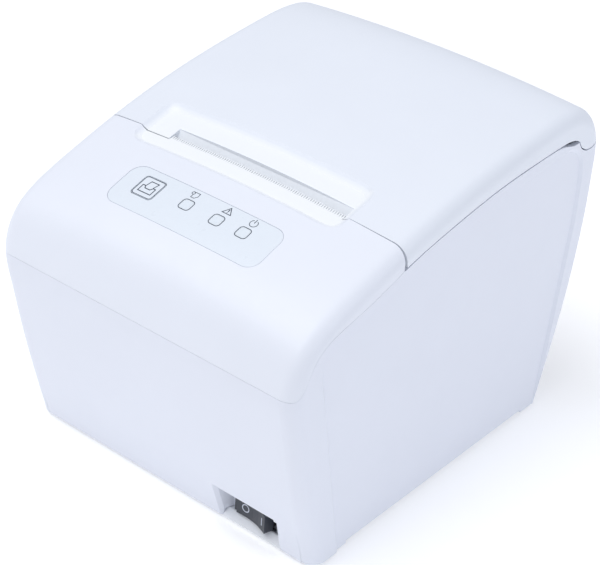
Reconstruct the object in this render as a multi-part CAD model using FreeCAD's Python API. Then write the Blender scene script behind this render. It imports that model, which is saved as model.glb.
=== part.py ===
import FreeCAD, Part
import math
import os

V = FreeCAD.Vector
os.makedirs("parts", exist_ok=True)

# ---- driving dimensions (mm) -------------------------------------------
WIDTH = 140.0            # overall width, X
HALF_W = WIDTH / 2.0
FOOT_H = 1.5             # rubber feet below the shell
WALL = 2.4               # shell wall
CROWN = 3.2              # drop of the top surface at the side edges
EDGE_R = 6.0             # side edge radius
PAPER_W = 80.0           # paper width
HINGE_Y, HINGE_Z = 81.0, 122.5   # cover hinge axis
KNUCKLE_R = 8.6          # cover rear edge runs on this radius round the hinge
SEAM_GAP = 0.5
SEAM_Y = -33.5           # front edge of the roll cover
TEETH_PITCH = 1.0
TEETH_N = 81
MECH_TILT = 13.3         # print mechanism leans with the platen's path
MECH_O = (-25.8, 96.4)   # print line, Y Z
MODULE = 0.6             # feed gears
RACK_M = 0.8             # cutter rack
CUT_STROKE = 5.0
ROLL_R = 41.5            # roll bucket inner radius
ROLL_C = (39.5, 65.0)
PIN_R = 1.2               # cover hinge pins

# outer profile in the middle plane, front bottom -> over the top -> rear bottom
PROFILE = [(-71.2, 1.5), (-76.7, 21.5), (-81.8, 41.5), (-86.2, 61.5),
           (-88.7, 74.0), (-89.5, 85.2), (-86.3, 95.4), (-78.6, 104.3),
           (-64.7, 110.9), (-35.3, 120.3), (4.4, 129.3), (44.6, 134.5),
           (63.1, 135.7), (74.6, 134.2), (85.0, 126.8), (89.5, 111.5),
           (89.5, 81.5), (83.3, 41.5), (76.6, 16.5), (71.8, 1.5)]

# ---- helpers --------------------------------------------------------------


def save(name, shape):
    if shape.ShapeType == "Compound" and len(shape.Solids) == 1:
        shape = shape.Solids[0]
    ok = shape.isValid()
    print(name, "valid" if ok else "INVALID", "solids", len(shape.Solids),
          "vol %.1f" % shape.Volume,
          "bb %.1f..%.1f %.1f..%.1f %.1f..%.1f" % (
              shape.BoundBox.XMin, shape.BoundBox.XMax, shape.BoundBox.YMin,
              shape.BoundBox.YMax, shape.BoundBox.ZMin, shape.BoundBox.ZMax))
    shape.exportStep("parts/%s.step" % name)


def box(x0, x1, y0, y1, z0, z1):
    return Part.makeBox(x1 - x0, y1 - y0, z1 - z0, V(x0, y0, z0))


def cylx(r, x0, x1, y, z):
    return Part.makeCylinder(r, x1 - x0, V(x0, y, z), V(1, 0, 0))


def cyly(r, y0, y1, x, z):
    return Part.makeCylinder(r, y1 - y0, V(x, y0, z), V(0, 1, 0))


def cylz(r, z0, z1, x, y):
    return Part.makeCylinder(r, z1 - z0, V(x, y, z0), V(0, 0, 1))


def prismx(pts, x0, x1):
    w = Part.makePolygon([V(x0, y, z) for y, z in pts] + [V(x0, *pts[0])])
    return Part.Face(w).extrude(V(x1 - x0, 0, 0))


def prismy(pts, y0, y1):
    w = Part.makePolygon([V(x, y0, z) for x, z in pts] +
                         [V(pts[0][0], y0, pts[0][1])])
    return Part.Face(w).extrude(V(0, y1 - y0, 0))


def rrect_wire(x0, x1, y0, y1, r, z):
    e = []
    c = [(x1 - r, y1 - r, 0), (x0 + r, y1 - r, 90), (x0 + r, y0 + r, 180),
         (x1 - r, y0 + r, 270)]
    prev = None
    first = None
    for cx, cy, a in c:
        p = [V(cx + r * math.cos(math.radians(a + k)),
               cy + r * math.sin(math.radians(a + k)), z) for k in (0, 45, 90)]
        if prev is not None:
            e.append(Part.makeLine(prev, p[0]))
        else:
            first = p[0]
        e.append(Part.Arc(p[0], p[1], p[2]).toShape())
        prev = p[2]
    e.append(Part.makeLine(prev, first))
    return Part.Wire(e)


def rbox(x0, x1, y0, y1, z0, z1, r):
    return Part.Face(rrect_wire(x0, x1, y0, y1, r, z0)).extrude(V(0, 0, z1 - z0))


def fuse(first, *rest):
    return first.multiFuse(list(rest)).removeSplitter() if rest else first


def cut(a, *tools):
    return a.cut(list(tools)) if len(tools) > 1 else a.cut(tools[0])


def group(shapes):
    return Part.makeCompound(shapes)


def base_curve():
    c = Part.BSplineCurve()
    c.interpolate([V(0, y, z) for y, z in PROFILE])
    return c


BASE = base_curve()
NS = 24
SAMPLES = []
for i in range(NS + 1):
    u = BASE.FirstParameter + (BASE.LastParameter - BASE.FirstParameter) * i / NS
    p = BASE.value(u)
    t = BASE.tangent(u)[0]
    n = V(0, t.z, -t.y)          # inward normal (path goes front to rear)
    SAMPLES.append((p, n, t))


def section(x, off, drop):
    """Closed wire of the profile at plane x, moved inwards by off, its ends
    carried down by drop below the shell's lower edge."""
    pts = []
    for p, n, t in SAMPLES:
        up = max(0.0, -n.z)
        w = up * up * (3.0 - 2.0 * up)
        pts.append(V(x, p.y + n.y * off,
                     p.z + n.z * off - CROWN * (x / HALF_W) ** 2 * w))
    if drop > 0.0:
        a, b = pts[0], pts[-1]
        ta, tb = SAMPLES[0][2], SAMPLES[-1][2]
        pts[0] = V(x, a.y - ta.y * drop, a.z - ta.z * drop)
        pts[-1] = V(x, b.y + tb.y * drop, b.z + tb.z * drop)
    c = Part.BSplineCurve()
    c.interpolate(pts)
    e = c.toShape()
    return Part.Wire([e, Part.makeLine(pts[-1], pts[0])])


def body(half, off, drop, radius):
    """Lofted body of the profile; a zero radius leaves its side edges sharp."""
    xs = [-half, -half * 0.5, 0.0, half * 0.5, half]
    s = Part.makeLoft([section(x, off, drop) for x in xs], True, False)
    if radius <= 0.0:
        return s
    edges = [e for e in s.Edges if e.Length > 200 and
             abs(abs(e.BoundBox.XMin) - half) < 0.01 and
             e.BoundBox.XLength < 0.01 and e.BoundBox.ZLength > 50]
    return s.makeFillet(radius, edges)


def spin(shape, axis_p, axis_d, deg):
    s = shape.copy()
    s.rotate(axis_p, axis_d, deg)
    return s


def mech(shape):
    """From the mechanism's own frame (X, n, t) to the printer's frame."""
    s = shape.copy()
    s.rotate(V(0, 0, 0), V(1, 0, 0), MECH_TILT)
    s.translate(V(0, MECH_O[0], MECH_O[1]))
    return s


def mech_pt(v, w):
    a = math.radians(MECH_TILT)
    return (MECH_O[0] + v * math.cos(a) - w * math.sin(a),
            MECH_O[1] + v * math.sin(a) + w * math.cos(a))


def gear_pts(z, m, rot, thin=0.10, add=0.85, ded=1.25):
    """Involute tooth outline as (y, z) points, tooth centre at angle rot."""
    r = m * z / 2.0
    rb = r * math.cos(math.radians(20))
    ra = r + add * m
    rf = r - ded * m
    inv = lambda a: math.tan(a) - a
    half = math.pi / (2 * z) - thin / (2 * r) + inv(math.radians(20))
    flank = []
    rs = max(rb, rf)
    for k in range(6):
        rr = rs + (ra - rs) * k / 5.0
        a = math.acos(min(1.0, rb / rr))
        flank.append((rr, half - inv(a)))
    pts = []
    for i in range(z):
        c = rot + 2 * math.pi * i / z
        if rf < rs - 1e-6:
            pts.append((rf, c - flank[0][1]))
        for rr, h in flank:
            pts.append((rr, c - h))
        for rr, h in reversed(flank):
            pts.append((rr, c + h))
        if rf < rs - 1e-6:
            pts.append((rf, c + flank[0][1]))
    return [(rr * math.cos(a), rr * math.sin(a)) for rr, a in pts]


def gear(z, m, x0, x1, cy, cz, rot, bore, hub=0.0, hub_len=0.0, thin=0.10):
    s = prismx([(cy + p, cz + q) for p, q in gear_pts(z, m, rot, thin)], x0, x1)
    if hub > 0:
        s = s.fuse(cylx(hub, x0, x1 + hub_len, cy, cz))
    if bore > 0:
        s = s.cut(cylx(bore, x0 - 1, x1 + hub_len + 1, cy, cz))
    return s


def helix_spring(r, wire, pitch, turns, centre, axis):
    h = Part.makeHelix(pitch, pitch * turns, r)
    c = Part.Wire([Part.makeCircle(wire, V(r, 0, 0), V(0, 1, 0))])
    s = Part.Wire(h).makePipeShell([c], True, True)
    rot = FreeCAD.Rotation(V(0, 0, 1), axis)
    s.Placement = FreeCAD.Placement(centre, rot)
    return s


def screw(x, y, z, head_r, head_h, shank_r, length, axis):
    """Pan head on the point, shank running along axis."""
    d = V(*axis)
    h = Part.makeCylinder(head_r, head_h, V(x, y, z) - d * head_h, d)
    slot_w = shank_r * 0.45
    c = Part.makeBox(head_r * 1.3, slot_w, head_h * 0.5,
                     V(-head_r * 0.65, -slot_w / 2, 0))
    c = c.fuse(Part.makeBox(slot_w, head_r * 1.3, head_h * 0.5,
                            V(-slot_w / 2, -head_r * 0.65, 0)))
    c.Placement = FreeCAD.Placement(V(x, y, z) - d * head_h,
                                    FreeCAD.Rotation(V(0, 0, 1), d))
    k = Part.makeCylinder(shank_r, length, V(x, y, z), d)
    return h.fuse(k).cut(c)


# ---- outer shells ---------------------------------------------------------
OUTER = body(HALF_W, 0.0, 0.0, EDGE_R)
INNER = body(HALF_W - WALL, WALL, 12.0, EDGE_R - WALL)
SHELL = OUTER.cut(INNER)


def arc_pts(r, a0, a1, n):
    return [(HINGE_Y + r * math.cos(math.radians(a0 + (a1 - a0) * i / n)),
             HINGE_Z + r * math.sin(math.radians(a0 + (a1 - a0) * i / n)))
            for i in range(n + 1)]


def seam_solid(pts, arcs_after, tail, x0, x1):
    """Prism whose lower edge is a smooth curve through pts, then points."""
    c = Part.BSplineCurve()
    c.interpolate([V(x0, y, z) for y, z in pts])
    e = [c.toShape()]
    last = V(x0, *pts[-1])
    for q in arcs_after + tail:
        nxt = V(x0, *q)
        e.append(Part.makeLine(last, nxt))
        last = nxt
    e.append(Part.makeLine(last, V(x0, *pts[0])))
    return Part.Face(Part.Wire(e)).extrude(V(x1 - x0, 0, 0))


COVER_EDGE = [(-32.4, 109.9), (-24.0, 112.0), (-2.5, 116.2), (20.0, 119.6),
              (44.0, 121.4), (57.0, 122.0), (63.0, 122.1), (68.5, 121.4),
              (73.04, 119.28)]
CASE_EDGE = [(-33.0, 109.1), (-24.0, 111.5), (-2.5, 115.7), (20.0, 119.1),
             (44.0, 120.9), (57.0, 121.4), (62.0, 121.0), (66.5, 119.7),
             (72.56, 119.09)]
COVER_REGION = seam_solid(COVER_EDGE, arc_pts(KNUCKLE_R, 202.0, 330.0, 16)[1:],
                          [(100.0, 118.2), (100.0, 150.0), (-33.85, 150.0),
                           (-33.85, 119.0)], -80.0, 80.0)
CASE_CUT_REAR = seam_solid(CASE_EDGE,
                           arc_pts(KNUCKLE_R + SEAM_GAP, 202.0, 330.0, 16)[1:],
                           [(100.0, 117.7), (100.0, 150.0), (-33.0, 150.0)],
                           -80.0, 80.0)
BEZEL_EDGE = [(-34.1, 109.3), (-44.6, 105.7), (-60.5, 101.6), (-72.2, 98.4),
              (-78.6, 94.2), (-82.0, 89.0), (-84.6, 84.4), (-87.4, 81.6)]
BEZEL_REGION = seam_solid(BEZEL_EDGE, [], [(-95.0, 81.2), (-95.0, 150.0),
                                           (-34.1, 150.0)], -80.0, 80.0)
BEZEL_CUT = seam_solid([(y, z - 0.12) for y, z in BEZEL_EDGE], [],
                       [(-95.0, 81.08), (-95.0, 150.0), (-33.0, 150.0),
                        (-33.0, 109.0)], -80.0, 80.0)

# ---- dish round the paper slot --------------------------------------------
DISH_D = 1.7                       # depth of the dish under the outer surface
DISH_X0, DISH_X1, DISH_Y0, DISH_Y1, DISH_R = -52.6, 45.2, -41.6, -17.2, 6.2
BAR_T0, BAR_T1 = 1.95, 3.0         # tear bar lies between these depths


def top_z(x, y):
    """Height of the outer surface over a point of the sloping top."""
    best = None
    for k in range(len(SAMPLES) - 1):
        p, q = SAMPLES[k][0], SAMPLES[k + 1][0]
        if p.z > 100 and q.z > 100 and p.y <= y <= q.y:
            f = (y - p.y) / (q.y - p.y)
            u0 = BASE.FirstParameter + (BASE.LastParameter - BASE.FirstParameter) * (k + f) / NS
            pt = BASE.value(u0)
            for _ in range(4):
                tg = BASE.tangent(u0)[0]
                d = BASE.getD1(u0)[1]
                u0 += (y - pt.y) / d.y
                pt = BASE.value(u0)
            tg = BASE.tangent(u0)[0]
            up = max(0.0, tg.y)
            best = pt.z - CROWN * (x / HALF_W) ** 2 * up * up * (3.0 - 2.0 * up)
            break
    return best


def dish_wire(inset, depth, flat_z=None):
    x0, x1, y0, y1 = (DISH_X0 + inset, DISH_X1 - inset, DISH_Y0 + inset,
                      DISH_Y1 - inset)
    r = max(2.0, DISH_R - inset)
    pts = []
    for cx, cy, a0, nx, ny in ((x1 - r, y1 - r, 0, x0 + r, y1), (x0 + r, y1 - r, 90, x0, y0 + r),
                               (x0 + r, y0 + r, 180, x1 - r, y0), (x1 - r, y0 + r, 270, x1, y1 - r)):
        for k in range(7):
            a = math.radians(a0 + 15 * k)
            pts.append((cx + r * math.cos(a), cy + r * math.sin(a)))
        lx, ly = pts[-1]
        n = 10 if abs(nx - lx) > 40 else 3
        for k in range(1, n):
            pts.append((lx + (nx - lx) * k / n, ly + (ny - ly) * k / n))
    w = [V(x, y, flat_z if flat_z is not None else top_z(x, y) - depth) for x, y in pts]
    c = Part.BSplineCurve()
    c.interpolate(w, PeriodicFlag=True)
    return Part.Wire([c.toShape()])


SKIN_D = body(HALF_W, DISH_D, 0.0, 0.0)
DISH_TUBE = Part.makeLoft([dish_wire(2.9, 0, 100.0), dish_wire(2.9, DISH_D + 0.15),
                           dish_wire(1.0, 0.75), dish_wire(0.0, 0.0),
                           dish_wire(-0.9, -0.9), dish_wire(-0.9, 0, 140.0)],
                          True, True)
DISH_VOID = DISH_TUBE.cut(SKIN_D)
SLOT_X0, SLOT_X1 = -39.2, 42.4
SLOT_CUT = prismx([(-33.6, 90.0), (-29.2, 90.0), (-29.1, 112.0), (-29.9, 115.9),
                   (-27.7, 119.3), (-27.3, 124.0), (-33.6, 124.0)], SLOT_X0, SLOT_X1)
SLOT_CUT = SLOT_CUT.common(Part.makeLoft([
    Part.makePolygon([V(SLOT_X0, -40, 90), V(SLOT_X1, -40, 90), V(SLOT_X1, -20, 90),
                      V(SLOT_X0, -20, 90), V(SLOT_X0, -40, 90)]),
    Part.makePolygon([V(SLOT_X0, -40, 114), V(SLOT_X1, -40, 114), V(SLOT_X1, -20, 114),
                      V(SLOT_X0, -20, 114), V(SLOT_X0, -40, 114)])], True, True).fuse(
    box(SLOT_X0, SLOT_X1, -40, -20, 113.9, 130)))

# ---- lower case ------------------------------------------------------------
case = SHELL.cut([CASE_CUT_REAR, BEZEL_CUT])
PANEL_CORNERS = [(-55.2, -8.0, 0.0), (-75.6, 94.2, 7.0), (-36.0, 102.6, 60.0),
                 (0.0, 109.6, 120.0), (34.0, 114.2, 120.0), (76.6, 118.2, 12.0),
                 (77.3, 84.0, 60.0), (66.8, -8.0, 0.0)]


def rounded(corners, step):
    """Open polyline through corners, each rounded to its radius."""
    out = [corners[0][:2]]
    for k in range(1, len(corners) - 1):
        p0, p1, p2 = [V(c[0], c[1], 0) for c in corners[k - 1:k + 2]]
        u, w = (p0 - p1).normalize(), (p2 - p1).normalize()
        ang = u.getAngle(w)
        t = corners[k][2] / math.tan(ang / 2.0)
        c = p1 + (u + w).normalize() * (corners[k][2] / math.sin(ang / 2.0))
        a, b = p1 + u * t, p1 + w * t
        n = max(3, int(corners[k][2] * (math.pi - ang) / step))
        for i in range(n + 1):
            q = a - c + ((b - c) - (a - c)) * (i / n)
            q = c + q.normalize() * corners[k][2]
            out.append((q.x, q.y))
    out.append(corners[-1][:2])
    dense = []
    for a, b in zip(out[:-1], out[1:]):
        m = max(1, int(math.hypot(b[0] - a[0], b[1] - a[1]) / 9.0))
        dense += [(a[0] + (b[0] - a[0]) * i / m, a[1] + (b[1] - a[1]) * i / m)
                  for i in range(m)]
    return dense + [out[-1]]


PANEL = rounded(PANEL_CORNERS, 2.5)


def grow(pts, d):
    cx, cy = 2.0, 50.0
    out = []
    n = len(pts)
    for i in range(n):
        a, b, c = pts[i - 1], pts[i], pts[(i + 1) % n]
        if i == 0:
            a = b
        if i == n - 1:
            c = b
        t = V(c[0] - a[0], c[1] - a[1], 0).normalize()
        nn = V(t.y, -t.x, 0)
        if nn.x * (b[0] - cx) + nn.y * (b[1] - cy) < 0:
            nn = nn * -1
        out.append((b[0] + nn.x * d, b[1] + nn.y * d))
    return out


def panel_wire(pts, x):
    c = Part.BSplineCurve()
    c.interpolate([V(x, y, z) for y, z in pts])
    return Part.Wire([c.toShape(), Part.makeLine(V(x, *pts[-1]), V(x, *pts[0]))])


panel_cuts = []
for sx in (1, -1):
    panel_cuts.append(Part.makeLoft([panel_wire(PANEL, sx * 69.0),
                                     panel_wire(grow(PANEL, 1.6), sx * 70.2)],
                                    True, True))
    panel_cuts.append(box(*(sorted((sx * 66.0, sx * 72.0))), -52.0, 60.0, 0.0, 2.7))
# switch pocket, open at the lower edge of the front
POCKET = Part.makeLoft([
    Part.makePolygon([V(28.0, -66.6, -3), V(53.4, -66.6, -3), V(53.4, -66.6, 13.6),
                      V(28.0, -66.6, 13.6), V(28.0, -66.6, -3)]),
    Part.makePolygon([V(24.6, -78.0, -3), V(55.6, -78.0, -3), V(55.6, -78.0, 17.4),
                      V(24.6, -78.0, 17.4), V(24.6, -78.0, -3)])], True, True)
def mouth_wire(low_x, top_x, x1, top, depth):
    p = [V(x, -71.2 - 0.275 * (z - 1.5) + depth, z)
         for x, z in ((low_x, -3.0), (x1, -3.0), (x1, top), (top_x, top))]
    return Part.makePolygon(p + [p[0]])


MOUTH = Part.makeLoft([mouth_wire(27.4, 25.85, 53.8, 16.0, 1.4),
                       mouth_wire(25.4, 23.85, 53.8, 18.0, -0.6)], True, True)
POCKET_SKIN = Part.makeLoft([
    Part.makePolygon([V(26.4, -65.0, -3), V(55.0, -65.0, -3), V(55.0, -65.0, 15.2),
                      V(26.4, -65.0, 15.2), V(26.4, -65.0, -3)]),
    Part.makePolygon([V(22.6, -79.0, -3), V(57.6, -79.0, -3), V(57.6, -79.0, 19.2),
                      V(22.6, -79.0, 19.2), V(22.6, -79.0, -3)])], True, True)
bay = Part.Face(rrect_wire(-57.0, 57.0, 0.0, 40.0, 4.0, 0.0)).extrude(V(0, 0, 60))
bay.rotate(V(0, 0, 0), V(1, 0, 0), 90)
bay.translate(V(0, 124, 4.5))
# screw posts up from the base plate
POSTS = [(-58.0, -52.0), (58.0, -48.0), (-60.0, 50.0), (60.0, 50.0)]
adds = [POCKET_SKIN.common(OUTER)]
cuts = panel_cuts + [POCKET, MOUTH, box(30.4, 51.6, -70, -60, 4.6, 13.1),
                     box(24.0, 57.0, -68.6, -60, 0.0, 4.5),
                     box(26.6, 54.6, -80, -68.5, 0.0, 4.5), bay,
                     box(-53.0, 53.0, 64, 95, -1, 6.0)]
for px, py in POSTS:
    ax = math.copysign(68.4, px)
    adds.append(cylz(3.6, 7.2, 26.0, px, py).fuse(
        box(min(px, ax), max(px, ax), py - 1.0, py + 1.0, 7.2, 26.0)))
    cuts.append(cylz(1.25, 0.0, 20.0, px, py))
case = case.multiFuse(adds).cut(cuts)
save("lower_case", case)

# ---- base plate, feet, screws ----------------------------------------------
plate = rbox(-67.2, 67.2, -68.3, 68.9, FOOT_H, 4.2, 4.0)
padd = [prismx([(-66.0, FOOT_H), (-66.0, 4.2), (-68.4, 4.2), (-71.2, 1.95),
                (-71.2, FOOT_H)], 26.75, 54.45),
        box(-52.4, 52.4, 64.0, 71.4, FOOT_H, 4.2)]
pcut = []
padd += [box(-44, 44, yy - 0.8, yy + 0.8, 4.1, 5.6) for yy in (-30.0, 0.0, 30.0)]
BOARD_POSTS = [(-46.0, -34.0), (46.0, -34.0), (-46.0, 46.0), (46.0, 46.0)]
FEET = [(-54.0, -61.0), (54.0, -58.0), (-56.0, 60.0), (56.0, 60.0)]
for px, py in POSTS:
    padd.append(cylz(4.4, 4.1, 7.0, px, py))
    pcut += [cylz(1.7, 0.0, 10.0, px, py), cylz(3.3, 0.0, 4.5, px, py)]
for px, py in BOARD_POSTS:
    padd.append(cylz(2.8, 4.1, 8.0, px, py))
    pcut.append(cylz(1.15, 2.4, 12.0, px, py))
for fx, fy in FEET:
    pcut.append(cylz(5.2, 0.0, 2.7, fx, fy))
plate = plate.multiFuse(padd).cut(pcut)
save("base_plate", plate.removeSplitter())
feet = []
for fx, fy in FEET:
    f = cylz(5.0, 0.0, 2.6, fx, fy)
    f = f.makeFillet(0.7, [e for e in f.Edges if e.BoundBox.ZMax < 0.01])
    feet.append(f)
save("rubber_feet", group(feet))
save("base_screws", group([screw(px, py, 4.45, 2.9, 2.0, 1.2, 14.0, (0, 0, 1))
                           for px, py in POSTS]))

# ---- front bezel with tear bar, key and indicators ---------------------------
bezel = SHELL.common(BEZEL_REGION)
shelf = prismx([(-46.0, 110.4), (-34.1, 113.2), (-34.1, 126.0), (-46.0, 126.0)],
               -57.0, 49.6).common(OUTER)
shelf = shelf.fuse(prismx([(-36.0, 113.0), (-33.35, 113.6), (-33.35, 126.0), (-36.0, 126.0)],
                          SLOT_X0 + 0.4, SLOT_X1 - 0.4).common(OUTER))
lip = box(SLOT_X0 + 0.4, SLOT_X1 - 0.4, -36.0, -33.4, 109.6, 114.5)
SKIN_T1 = body(HALF_W, BAR_T1 + 0.05, 0.0, 0.0)
bar_seat = box(SLOT_X0, SLOT_X1, -36.6, -30.0, 105, 130).common(
    body(HALF_W, BAR_T0 - 0.02, 0.0, 0.0)).cut(SKIN_T1)
b_cuts = [DISH_VOID, bar_seat, box(SLOT_X0, SLOT_X1, -33.5, -30.0, 105, 130)]
b_adds = [shelf, lip]
# control panel lies in a shallow seat on the slope
PNL_Y, PNL_Z = -59.5, 112.55
SLOPE = math.degrees(math.atan2(120.3 - 110.9, 64.7 - 35.3))


def panel(shape):
    s = shape.copy()
    s.rotate(V(0, 0, 0), V(1, 0, 0), SLOPE)
    s.translate(V(0, PNL_Y, PNL_Z))
    return s


SKIN_A = body(HALF_W, 0.45, 0.0, 0.0)
SKIN_B = body(HALF_W, 0.05, 0.0, 0.0)
seat = panel(rbox(-37.65, 33.15, -11.05, 9.15, -12, 8, 5.2))
b_cuts.append(seat.cut(SKIN_A))
overlay = panel(rbox(-37.5, 33.0, -10.9, 9.0, -12, 8, 5.05)).common(
    SKIN_B).cut(SKIN_A)
KEY = (-25.2, 0.8)
KEY_S = 4.8
LEDS = [(-7.3, 1.1), (7.1, 0.8), (19.0, 1.0)]
LED_S = 2.25
key_hole = panel(rbox(KEY[0] - KEY_S - 0.3, KEY[0] + KEY_S + 0.3,
                      KEY[1] - KEY_S - 0.3, KEY[1] + KEY_S + 0.3, -12, 8, 1.6))
o_cuts = [key_hole]
for lx, ly in LEDS:
    h = panel(rbox(lx - LED_S - 0.05, lx + LED_S + 0.05, ly - LED_S - 0.05,
                   ly + LED_S + 0.05, -12, 8, 1.25))
    o_cuts.append(h)
overlay = overlay.cut(o_cuts)
b_cuts += o_cuts
# two posts that carry the control board
for bx in (-36.0, 29.5):
    b_adds.append(panel(cylz(2.2, -9.0, -1.2, bx, -1.0)))
    b_cuts.append(panel(cylz(0.85, -10.0, -3.6, bx, -1.0)))
bezel = bezel.multiFuse(b_adds).cut(b_cuts)
save("front_bezel", bezel)
save("control_overlay", overlay)

key = panel(rbox(KEY[0] - KEY_S, KEY[0] + KEY_S, KEY[1] - KEY_S, KEY[1] + KEY_S,
                 -3.6, 6, 1.4)).common(SKIN_B)
key = key.fuse(panel(rbox(KEY[0] - KEY_S - 1.2, KEY[0] + KEY_S + 1.2,
                          KEY[1] - KEY_S - 1.2, KEY[1] + KEY_S + 1.2,
                          -5.0, -3.5, 1.4)))
key = key.fuse(panel(cylz(1.4, -6.0, -4.9, KEY[0], KEY[1])))
save("feed_button", key.removeSplitter())
lens = []
for lx, ly in LEDS:
    s = panel(rbox(lx - LED_S, lx + LED_S, ly - LED_S, ly + LED_S, -4.2, 6, 1.2)
              ).common(SKIN_B)
    s = s.fuse(panel(rbox(lx - LED_S - 0.9, lx + LED_S + 0.9, ly - LED_S - 0.9,
                          ly + LED_S + 0.9, -5.2, -4.1, 0.9)))
    lens.append(s.removeSplitter())
save("indicator_lenses", group(lens))
board = panel(rbox(-39.0, 32.5, -8.0, 4.8, -10.7, -9.1, 1.5))
for bx in (-36.0, 29.5):
    board = board.cut(panel(cylz(1.0, -12, -8, bx, -1.0)))
save("control_board", board)
tact = panel(box(KEY[0] - 3.0, KEY[0] + 3.0, KEY[1] - 3.0, KEY[1] + 3.0, -9.05, -7.6))
tact = tact.fuse(panel(cylz(1.6, -7.7, -6.95, KEY[0], KEY[1])))
save("tact_switch", tact.removeSplitter())
save("indicator_leds", group([panel(box(lx - 1.0, lx + 1.0, ly - 0.8, ly + 0.8,
                                        -9.05, -7.9)) for lx, ly in LEDS]))
save("board_screws", group(
    [screw(*p, 1.7, 1.2, 0.8, 4.6, d) for p, d in [
        ((panel(Part.Vertex(V(bx, -1.0, -10.72))).Point.x,
          panel(Part.Vertex(V(bx, -1.0, -10.72))).Point.y,
          panel(Part.Vertex(V(bx, -1.0, -10.72))).Point.z),
         (0.0, -math.sin(math.radians(SLOPE)), math.cos(math.radians(SLOPE))))
        for bx in (-36.0, 29.5)]]))

# tear bar with fine teeth along its rear edge
tpts = [(SLOT_X0 + 0.12, -36.5), (SLOT_X1 - 0.12, -36.5), (SLOT_X1 - 0.12, -33.5)]
x = (SLOT_X0 + SLOT_X1 + TEETH_N * TEETH_PITCH) / 2.0
tpts.append((x, -33.5))
for i in range(TEETH_N):
    tpts.append((x - 0.36 * TEETH_PITCH, -31.5))
    tpts.append((x - 0.64 * TEETH_PITCH, -31.5))
    x -= TEETH_PITCH
    tpts.append((x, -33.5))
tpts.append((SLOT_X0 + 0.12, -33.5))
bar = Part.Face(Part.makePolygon([V(a, b, 105.0) for a, b in tpts] +
                                 [V(tpts[0][0], tpts[0][1], 105.0)])
                ).extrude(V(0, 0, 25.0))
bar = bar.common(body(HALF_W, BAR_T0, 0.0, 0.0)).cut(body(HALF_W, BAR_T1, 0.0, 0.0))
save("tear_bar", bar)

# ---- roll cover ---------------------------------------------------------------
cover = SHELL.common(COVER_REGION)
dskin = prismx([(-33.85, 112.6), (-27.4, 110.5), (-26.0, 115.6), (-25.0, 117.4),
                (-14.5, 120.6), (-13.5, 131.0), (-33.85, 131.0)],
               -57.0, 49.6).common(OUTER).common(COVER_REGION)
c_adds = [dskin]
c_cuts = [DISH_VOID, SLOT_CUT, box(SLOT_X0, SLOT_X1, -34.5, -33.0, 90, 130)]
deep = [(p.y + n.y * 6.0, p.z + n.z * 6.0 - 1.5) for p, n, t in SAMPLES]
# ribs, hinge arms and bracket pads under the cover
ribs = [box(rx - 0.8, rx + 0.8, -8.0, 72.0, 112.0, 140).cut(prismx(deep, -80, 80))
        for rx in (-54.0, 0.0, 54.0)]
for sx in (1, -1):
    x0, x1 = sorted((sx * 56.5, sx * 60.0))
    ribs.append(cylx(3.0, x0, x1, HINGE_Y, HINGE_Z).fuse(
        prismx([(78.2, 121.6), (66.0, 129.0), (62.0, 137.0), (84.0, 137.0),
                (83.8, 123.6)], x0, x1)))
    c_cuts.append(cylx(PIN_R + 0.04, x0 - 1, x1 + 1, HINGE_Y, HINGE_Z))
    x2, x3 = sorted((sx * 60.15, sx * 64.4))
    c_cuts.append(cylx(3.4, x2, x3, HINGE_Y, HINGE_Z))
PADS = [(-36.0, -13.5), (36.0, -13.5), (-36.0, -4.5), (36.0, -4.5)]
for px, py in PADS:
    ribs.append(cylz(3.0, 112.0, 135.0, px, py).cut(
        mech(box(-60, 60, -20, 60, -30, 15.22))))
    c_cuts.append(cylz(1.1, 110.0, 120.6, px, py))
skin_mid = body(HALF_W - 1.2, 1.2, 0.0, 0.0)
c_adds += [r.common(skin_mid) for r in ribs]
cover = cover.multiFuse(c_adds).cut(c_cuts)
save("roll_cover", cover)

# ---- roll bucket with hinge lugs -------------------------------------------------
cy, cz = ROLL_C
RO = ROLL_R + 1.6


def u_shape(r, front_y, x0, x1, top):
    s = cylx(r, x0, x1, cy, cz)
    s = s.fuse(box(x0, x1, front_y, cy + r, cz, top))
    return s


tub = u_shape(RO, cy - RO, -43.2, 43.2, 107.0)
tub = tub.cut(u_shape(ROLL_R, cy - ROLL_R, -41.4, 41.4, 120.0))
tub = tub.cut(prismx([(-20, 84.0), (2.0, 84.0), (30.0, 106.1), (30, 130),
                      (-20, 130)], -41.4, 41.4))
deck_pts = [(-5.0, 104.7), (10.0, 108.2), (30.0, 111.2), (50.0, 112.6),
            (68.0, 112.4), (76.5, 110.4), (82.8, 104.0)]
deck = prismx(deck_pts + [(y, z - 2.0) for y, z in reversed(deck_pts)], -66.9, 66.9)
deck = deck.cut(u_shape(RO - 0.4, cy - RO + 0.4, -42.4, 42.4, 130.0))
bucket = tub.fuse(deck)
for sx in (1, -1):
    x0, x1 = sorted((sx * 60.5, sx * 64.0))
    lug = cylx(2.6, x0, x1, HINGE_Y, HINGE_Z).fuse(
        prismx([(78.9, 124.0), (81.7, 120.3), (74.3, 109.6), (62.0, 110.9),
                (66.5, 112.6), (70.5, 114.5)], x0, x1))
    bucket = bucket.fuse(lug.cut(cylx(PIN_R, -70, 70, HINGE_Y, HINGE_Z)))
for px, py in [(-52.0, 8.0), (52.0, 8.0), (-52.0, 48.0), (52.0, 48.0)]:
    bucket = bucket.fuse(box(px - 2, px + 2, py - 2, py + 2, 5.8, 111.4).common(
        prismx([(-8.0, 5.8), (80.0, 5.8), (80.0, 111.0), (68.0, 111.9),
                (50.0, 112.1), (30.0, 110.7), (10.0, 107.7), (-8.0, 103.5)],
               -66, 66)))
save("roll_bucket", bucket.removeSplitter())
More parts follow.
